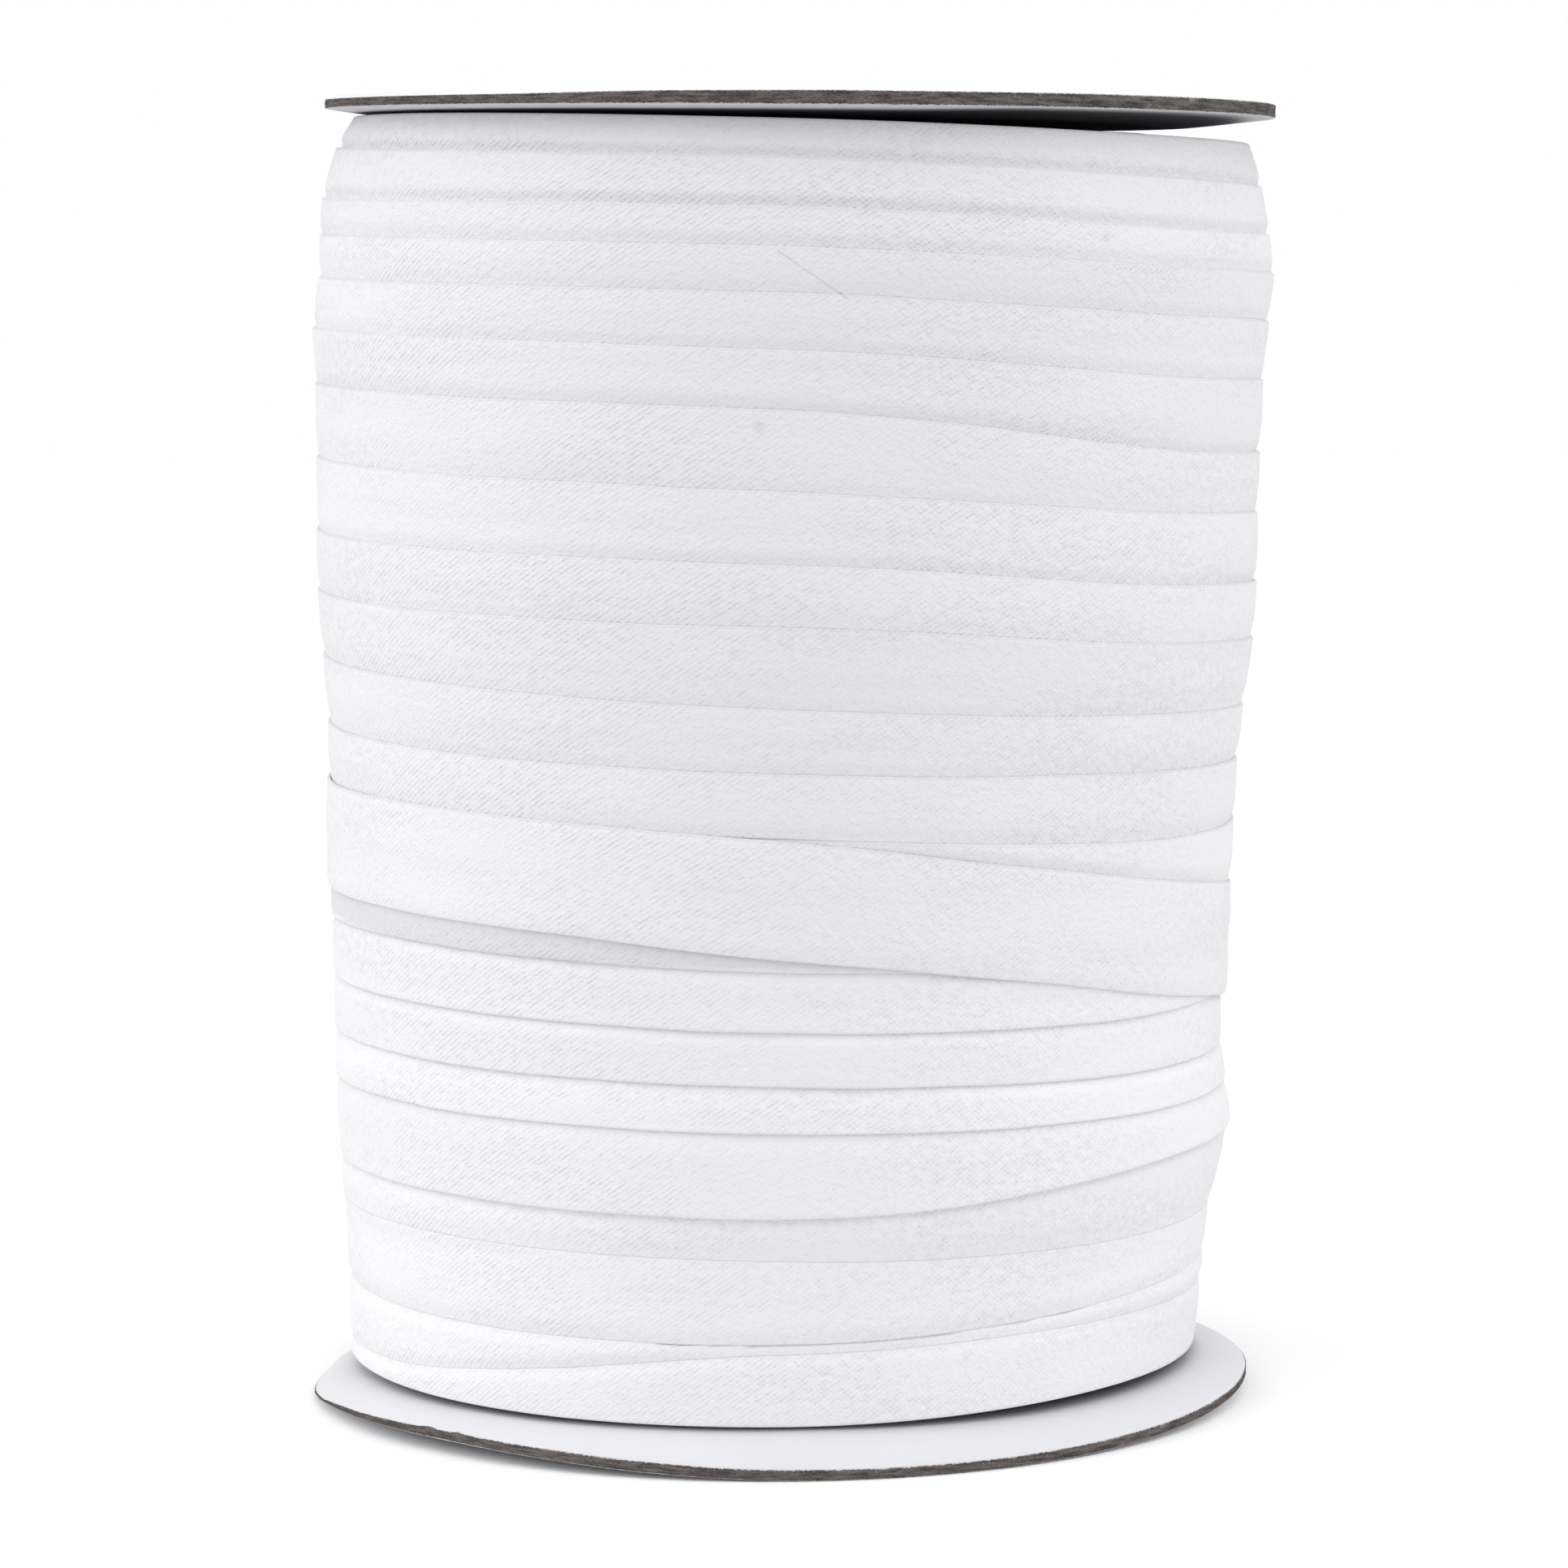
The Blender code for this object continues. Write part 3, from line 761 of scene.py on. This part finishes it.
def makeInnerLayers():
    plan = innerLayers
    topEdge = closedCurve(spool["windingTop"])
    bottomEdge = closedCurve(spool["windingBottom"])
    drawnIn = closedCurve(plan["drawnIn"])
    topLevel = spool["topUnderside"] - spool["clearance"]
    topLevel -= plan["flatRadius"] * math.sin(math.radians(spool["lean"] - spool["topBoardTilt"]))
    toLean = leanFrame.inverted()
    boardTop = (plan["boardTop"] + spool["clearance"]) * mm
    directions = [fullTurn * k / plan["columns"] for k in range(plan["columns"])]

    def outward(direction):
        angle = math.radians(direction)
        return Vector((math.cos(angle), math.sin(angle), 0.0))

    def ragged(seed, direction):
        angle = math.radians(direction)
        waves = plan["raggedWaves"]
        return plan["raggedness"] * abs(waver(seed, waves * math.cos(angle), waves * math.sin(angle)))

    def footHeight(direction):
        point = leanFrame @ (outward(direction) * plan["flatRadius"] * mm)
        point.z = boardTop
        return (toLean @ point).z / mm

    def topHeight(radius, direction):
        share = easeStep((plan["topOuter"] - plan["ledge"] - radius) / plan["topSlope"])
        return topEdge(direction) * (1.0 - share) + topLevel * share - plan["below"]

    def bottomHeight(radius, direction):
        share = easeStep((plan["bottomOuter"] - plan["ledge"] - radius) / plan["bottomSlope"])
        edge = bottomEdge(direction) + plan["below"]
        return edge * (1.0 - share) + footHeight(direction) * share

    def drawn(radius, direction, height):
        begin, over = plan["drawnFrom"]
        return radius - drawnIn(direction) * easeStep((height - begin) / over), direction, height

    rings = []
    for layer in reversed(range(int((plan["topOuter"] - plan["flatRadius"]) / plan["layerStep"]))):
        radius = plan["topOuter"] - layer * plan["layerStep"]
        for inset, dip in reversed(plan["layerEdge"]):
            ring = []
            for direction in directions:
                height = topHeight(radius, direction) - dip * plan["groove"]
                height -= ragged(plan["topSeed"] + layer, direction)
                ring.append((radius - inset, direction, height))
            rings.append(ring)
    for height, radius in reversed(plan["wall"]):
        rings.append([(radius, direction, height) for direction in directions])
    for layer in range(int((plan["bottomOuter"] - plan["flatRadius"]) / plan["layerStep"])):
        radius = plan["bottomOuter"] - layer * plan["layerStep"]
        for inset, dip in plan["layerEdge"]:
            ring = []
            for direction in directions:
                height = bottomHeight(radius, direction) + dip * plan["groove"]
                height += ragged(plan["bottomSeed"] + layer, direction)
                ring.append((radius - inset, direction, height))
            rings.append(ring)
    spots = [drawn(*spot) for ring in rings for spot in ring]
    points = [windingPoint(*spot) for spot in spots]
    coords = [
        (math.radians(direction) * radius * mm, height * mm, 0.0) for radius, direction, height in spots
    ]
    faces = bridgeFaces(len(rings), plan["columns"])
    capLevels = (topLevel - plan["capDepth"], footHeight(270.0) + plan["capDepth"])
    for ring, level in zip((0, len(rings) - 1), capLevels):
        faces += fanFaces(ring * plan["columns"], plan["columns"], len(points))
        points.append(windingPoint(0.0, 0.0, level))
        coords.append((0.0, 0.0, 0.0))
    # the inner layers wear the darkened cloth, painted shadow in the gaps
    piece = addPiece("innerLayers", points, faces, [gapShadedCloth], coords, "tapeCoord")
    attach(piece, "root")
    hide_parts("wound_tape")
    print("inner layers", len(piece.data.polygons), "faces")


makeInnerLayers()


# The two card boards

boards = {
    "columns": 480,
    "faceRadii": [14.0, 26.0, 36.0, 43.0, 47.0, 50.0, 52.5, 54.2, 55.3],
    "cornerRound": 0.14,
    "wallShares": [0.0, 0.12, 0.25, 0.38, 0.5, 0.62, 0.75, 0.88, 1.0],
    "wallRoughness": 0.07,
    # waves of the roughness: how many round the edge, how they change up it, share
    "wallWaves": ((18.0, (0.0, 3.0), 1.0), (60.0, (5.0, 0.0), 0.7)),
    "faceWaver": 0.05,
    "faceWave": 14.0,
    "faceWaverFull": 30.0,      # radius from which the faces waver fully
    "nickDepth": 1.0,           # how far inwards a nick reaches
    "thinnedWidth": 2.2,
    "levelSteep": 1.2,
    "top": {
        "node": "flange_top", "thickness": 1.6, "dome": 0.0, "flatRadius": 43.5,
        "innerFace": 0.0,       # the share up the thickness of the face against the winding
        # direction, lift of the rim
        "rim": [
            (0, 1.2), (45, 1.3), (90, 1.7), (135, 2.6), (160, 2.1), (185, 1.0), (225, 0.9), (270, 1.0),
            (315, 1.2),
        ],
        # direction, how flat the rim runs out past its curl
        "levelRim": [(10, 0.3), (90, 0.0), (250, 0.0), (280, 0.2), (300, 0.9), (340, 1.0)],
        # direction, how much thinner the edge is, pressed down from above
        "thinned": [(90, 0.0), (170, 0.2), (195, 0.55), (230, 0.5), (255, 0.15), (275, 0.0)],
        # radii between which the inner face turns from painted shadow to white
        "shaded": (50.0, 54.0),
        # direction, how much the band inside the rim swells
        "shoulder": [],
        # direction, depth and half width of small nicks in the cut edge
        "nicks": [(280.7, 0.25, 0.8), (313.6, 0.35, 1.2), (150.0, 0.3, 1.0)],
    },
    "bottom": {
        "node": "flange_bottom", "thickness": 1.15, "dome": 3.5, "flatRadius": 45.5, "innerFace": 1.0,
        "rim": [
            (0, 2.0), (20, 2.1), (60, 1.2), (120, 0.3), (160, 0.0), (175, 0.0), (185, 0.5), (205, 1.7),
            (225, 2.0), (240, 1.5), (255, 0.7), (270, 0.15), (285, 0.0), (300, 0.1), (320, 0.6), (340, 1.4),
        ],
        "levelRim": [],
        "thinned": [(10, 0.35), (60, 0.0), (140, 0.1), (165, 0.5), (180, 0.85), (192, 0.85), (205, 0.6),
                    (225, 0.2), (245, 0.0), (320, 0.0), (345, 0.25)],
        # radii between which the inner face turns from painted shadow to white
        "shaded": (45.5, 51.6),
        "shoulder": [
            (0, 0.0), (90, 0.0), (180, 0.0), (215, 0.0), (245, 0.35), (270, 0.6), (290, 0.3), (310, 0.0),
        ],
        "nicks": [(229.0, 0.3, 0.9), (224.0, 0.35, 2.0), (75.0, 0.3, 1.1)],
    },
}

paperLook = {
    "colour": (0.8, 0.802, 0.825, 1.0),
    "shadedInnerColour": (0.69, 0.69, 0.715, 1.0),  # painted shade: the faces against the winding get a darker copy of the paper colour
    "shade": (0.6, 0.6, 0.63, 1.0),
    "hidden": (0.17, 0.17, 0.19, 1.0),        # painted shadow deep in the gaps beside the winding
    "roughness": 0.7,
    "clouds": {"Scale": 60.0},
    "cloudShade": 0.12,
    "specks": {"Scale": 1900.0, "Low": 0.66, "High": 0.78},
    "speckShade": 0.5,
    "fibreScale": 2600.0,
    "fibreDepth": 0.03,
}
greyboardLook = {
    "dark": (0.045, 0.038, 0.038, 1.0),
    "light": (0.2, 0.175, 0.165, 1.0),
    "fleck": (0.42, 0.4, 0.385, 1.0),
    "paper": (0.62, 0.61, 0.62, 1.0),
    "roughness": 0.95,
    "specular": 0.2,
    "thickness": 0.0012,        # what one board's thickness counts in the patterns, in metres
    "plies": {"Scale": 3600.0, "Stretch": 9.0, "Low": 0.3, "High": 0.7},
    "grain": {"Scale": 6000.0, "Stretch": 2.0, "Low": 0.35, "High": 0.68},
    "flecks": {"Scale": 2400.0, "Stretch": 2.5, "Low": 0.64, "High": 0.74},
    "pliesShare": 0.65,
    "grainShare": 0.35,
    "fleckShade": 0.55,
    "depth": 0.12,
    "paperShare": 0.06,         # of the board's thickness, on each face
    "paperTear": 0.05,
}


def makePaper(name, shaded=None):
    # shaded: for a face that lies against the winding, which gets the darker inner colour, painted shade,
    # and the hidden colour, painted shadow, inside the given radii
    look = paperLook
    material, tree, shader = newMaterial(name, {"Roughness": look["roughness"]})
    coord = placeNode(tree)
    clouds = mathNode(tree, "MULTIPLY", cloudMask(tree, coord, look["clouds"]), look["cloudShade"])
    specks = cloudMask(tree, coord, look["specks"])
    shade = mathNode(tree, "MULTIPLY_ADD", specks, look["speckShade"], clouds)
    colour = mixColour(tree, shade, look["shadedInnerColour" if shaded else "colour"], look["shade"])
    if shaded:
        # painted shadow in the gaps beside the winding, inside the given radii
        radius = splitNode(tree, attributeNode(tree, "boardCoord"))[2]
        hidden = rangeNode(tree, radius, shaded[0] * mm, shaded[1] * mm, 1.0, 0.0)
        colour = mixColour(tree, hidden, colour, look["hidden"])
    tree.links.new(colour, shader.inputs["Base Color"])
    fibres = noiseNode(tree, coord, look["fibreScale"], 3.0)
    tree.links.new(bumpNode(tree, fibres, look["fibreDepth"] * mm), shader.inputs["Normal"])
    return material


def makeGreyboard():
    # boardCoord holds the length along the rim, the share up the board's thickness, and the radius
    look = greyboardLook
    material, tree, shader = newMaterial("greyboardEdge", {
        "Roughness": look["roughness"], "Specular IOR Level": look["specular"],
    })
    coord = attributeNode(tree, "boardCoord")
    flat = vectorNode(tree, "MULTIPLY", coord, (1.0, look["thickness"], 1.0))
    plies, grain, flecks = (cloudMask(tree, flat, look[name]) for name in ("plies", "grain", "flecks"))
    plies = mathNode(tree, "MULTIPLY", plies, look["pliesShare"])
    share = mathNode(tree, "MULTIPLY_ADD", grain, look["grainShare"], plies)
    colour = mixColour(tree, share, look["dark"], look["light"])
    flecks = mathNode(tree, "MULTIPLY", flecks, look["fleckShade"])
    colour = mixColour(tree, flecks, colour, look["fleck"])
    fromMiddle = mathNode(tree, "ABSOLUTE", mathNode(tree, "SUBTRACT", splitNode(tree, coord)[1], 0.5))
    torn = mathNode(tree, "MULTIPLY_ADD", grain, look["paperTear"], fromMiddle)
    limit = 0.5 - look["paperShare"]
    isPaper = rangeNode(tree, torn, limit, 0.5)
    colour = mixColour(tree, isPaper, colour, look["paper"])
    tree.links.new(colour, shader.inputs["Base Color"])
    tree.links.new(bumpNode(tree, share, look["depth"] * mm), shader.inputs["Normal"])
    return material


paper = makePaper("whiteCardPaper")
greyboard = makeGreyboard()


def rimCurve(rows):
    return closedCurve(rows) if rows else lambda direction: 0.0


def makeBoard(name, plan, frameOfBoard, seed):
    lift, levelRim, thinned, shoulder = (
        rimCurve(plan[key]) for key in ("rim", "levelRim", "thinned", "shoulder")
    )
    # the faces against the winding get paper with painted shade and painted shadow
    shadedInnerPaper = makePaper(name + "InnerPaper", plan["shaded"])
    columns = boards["columns"]
    radiusOut = spool["boardRadius"]
    thickness = plan["thickness"]
    corner = boards["cornerRound"]
    thinnedFrom = radiusOut - boards["thinnedWidth"]
    curledWidth = radiusOut - plan["flatRadius"]
    profile = [(radius, 0.0) for radius in boards["faceRadii"]]
    profile.append((radiusOut - corner, 0.0))
    firstWall = len(profile)
    for share in boards["wallShares"]:
        profile.append((radiusOut, corner + share * (thickness - 2.0 * corner)))
    afterWall = len(profile)
    profile.append((radiusOut - corner, thickness))
    profile += [(radius, thickness) for radius in reversed(boards["faceRadii"])]

    def wallRough(across, level):
        rough = 0.0
        for turn, (count, up, share) in enumerate(boards["wallWaves"]):
            place = (count * across[axis] + level * up[axis] for axis in (0, 1))
            rough += share * waver(seed + turn, *place)
        return boards["wallRoughness"] * rough

    def nicked(direction, radius):
        cut = 0.0
        for place, depth, half in plan["nicks"]:
            away = abs((direction - place + 180.0) % fullTurn - 180.0)
            away = math.radians(away) * radiusOut / half
            cut += depth * (1.0 - easeStep(away)) * (radius - radiusOut + boards["nickDepth"])
        return cut

    points = []
    coords = []
    for row, (radius, level) in enumerate(profile):
        for k in range(columns):
            direction = fullTurn * k / columns
            angle = math.radians(direction)
            across = Vector((math.cos(angle), math.sin(angle)))
            reach = radius
            if firstWall <= row < afterWall:
                reach += wallRough(across, level)
            if radius > radiusOut - boards["nickDepth"]:
                reach -= nicked(direction, radius)
            share = max(reach - plan["flatRadius"], 0.0) / curledWidth
            bend = share * share
            bend += levelRim(direction) * (easeStep(boards["levelSteep"] * share) - bend)
            pressed = easeStep((reach - thinnedFrom) / boards["thinnedWidth"])
            pressed *= thinned(direction) / thickness
            height = level * (1.0 - pressed) + lift(direction) * bend
            if level > thickness / 2.0:
                height += plan["dome"] * (1.0 - share * share)
                height += shoulder(direction) * 4.0 * share * (1.0 - share)
                swell = waver(seed + 2, *(radius * part / boards["faceWave"] for part in across))
                height += boards["faceWaver"] * swell * easeStep(radius / boards["faceWaverFull"])
            points.append(frameOfBoard @ (Vector((reach * across.x, reach * across.y, height)) * mm))
            coords.append((angle * radiusOut * mm, level / thickness, radius * mm))
    faces = bridgeFaces(len(profile), columns)
    wallFaces = range((firstWall - 1) * columns, afterWall * columns)
    for ring, level, height in ((0, 0.0, 0.0), (len(profile) - 1, 1.0, thickness + plan["dome"])):
        faces += fanFaces(ring * columns, columns, len(points))
        points.append(frameOfBoard @ Vector((0.0, 0.0, height * mm)))
        coords.append((0.0, level, 0.0))
    piece = addPiece(name, points, faces, [paper, greyboard, shadedInnerPaper], coords, "boardCoord")
    for face in piece.data.polygons:
        levels = [coords[point][1] for point in face.vertices]
        if face.index in wallFaces:
            face.material_index = 1
        elif min(levels) == max(levels) == plan["innerFace"]:
            face.material_index = 2
    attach(piece, "root")
    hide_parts(plan["node"])
    print(name, len(piece.data.polygons), "faces")


headFrame = leanFrame @ Matrix.Translation((0.0, 0.0, spool["topUnderside"] * mm))
headFrame = headFrame @ Matrix.Rotation(math.radians(spool["topBoardTilt"] - spool["lean"]), 4, "Y")
makeBoard("topBoard", boards["top"], headFrame, 20)
makeBoard("bottomBoard", boards["bottom"], footFrame, 30)


# The studio

studio = {
    "floorRadius": 3000.0,
    "floorColumns": 96,
    "floorColour": (0.96, 0.96, 0.96, 1.0),
    "floorShade": 0.99,
    "floorClouds": {"Scale": 6.0},
    # what it throws back onto the roll, near and far
    "floorBounce": ((0.78, 0.78, 0.78, 1.0), (0.5, 0.5, 0.5, 1.0)),
    "bounceReach": (100.0, 400.0),
    "skyLight": 0.72,           # soft light from all round
    "skySeen": 1.0,             # how bright the backdrop looks
    # name, direction it comes from, degrees above the floor, softness in degrees, strength
    "lights": [
        ("leftLight", 172.0, 25.0, 50.0, 1.1),
        ("rightLight", 8.0, 25.0, 50.0, 0.8),
        ("topLight", 270.0, 60.0, 60.0, 1.0),
    ],
}


def makeFloor():
    # it looks white but throws back less light
    material, tree, shader = newMaterial("paleFloor", {"Roughness": 0.9})
    coord = placeNode(tree)
    shade = tuple(studio["floorShade"] * value for value in studio["floorColour"])
    seen = mixColour(tree, cloudMask(tree, coord, studio["floorClouds"]), studio["floorColour"], shade)
    near, far = studio["bounceReach"]
    away = rangeNode(tree, vectorNode(tree, "LENGTH", coord), near * mm, far * mm)
    thrown = mixColour(tree, away, *studio["floorBounce"])
    path = tree.nodes.new("ShaderNodeLightPath")
    colour = mixColour(tree, path.outputs["Is Camera Ray"], thrown, seen)
    tree.links.new(colour, shader.inputs["Base Color"])
    columns = studio["floorColumns"]
    radius = studio["floorRadius"] * mm
    angles = [2.0 * math.pi * k / columns for k in range(columns)]
    points = [Vector((math.cos(angle), math.sin(angle), 0.0)) * radius for angle in angles]
    floor = addPiece("floor", points, [tuple(range(columns))], [material])


def makeLights():
    for name, direction, above, softness, strength in studio["lights"]:
        lamp = bpy.data.lights.new(name, "SUN")
        lamp.angle = math.radians(softness)
        lamp.energy = strength
        holder = bpy.data.objects.new(name, lamp)
        turn = Matrix.Rotation(math.radians(direction + 90.0), 4, "Z")
        holder.matrix_world = turn @ Matrix.Rotation(math.radians(90.0 - above), 4, "X")
        bpy.context.scene.collection.objects.link(holder)


def makeSky():
    world = bpy.data.worlds.new("softbox")
    world.use_nodes = True
    tree = world.node_tree
    sky = tree.nodes["Background"]
    sky.inputs["Color"].default_value = (1.0, 1.0, 1.0, 1.0)
    path = tree.nodes.new("ShaderNodeLightPath")
    isSeen = path.outputs["Is Camera Ray"]
    more = studio["skySeen"] - studio["skyLight"]
    tree.links.new(mathNode(tree, "MULTIPLY_ADD", isSeen, more, studio["skyLight"]), sky.inputs["Strength"])
    bpy.context.scene.world = world
    bpy.context.scene.view_settings.view_transform = "Standard"


makeFloor()
makeLights()
makeSky()
print("studio ready")


# The camera, fitted to the photograph's outlines

cameraView = {
    "place": (-0.76, -686.0, 136.98),
    "downwards": 5.36,          # degrees
    "roll": -0.5,               # degrees
    "sensor": 36.0,
    "focalPixels": 7102.2,
    "framePixels": 1932.0,
}


def makeCamera():
    view = cameraView
    lens = bpy.data.cameras.new("camera")
    lens.sensor_width = view["sensor"]
    lens.lens = view["focalPixels"] * view["sensor"] / view["framePixels"]
    holder = bpy.data.objects.new("camera", lens)
    turn = Matrix.Rotation(math.radians(90.0 - view["downwards"]), 4, "X")
    turn = turn @ Matrix.Rotation(math.radians(view["roll"]), 4, "Z")
    holder.matrix_world = Matrix.Translation(Vector(view["place"]) * mm) @ turn
    bpy.context.scene.collection.objects.link(holder)
    bpy.context.scene.camera = holder


makeCamera()
print("camera ready")
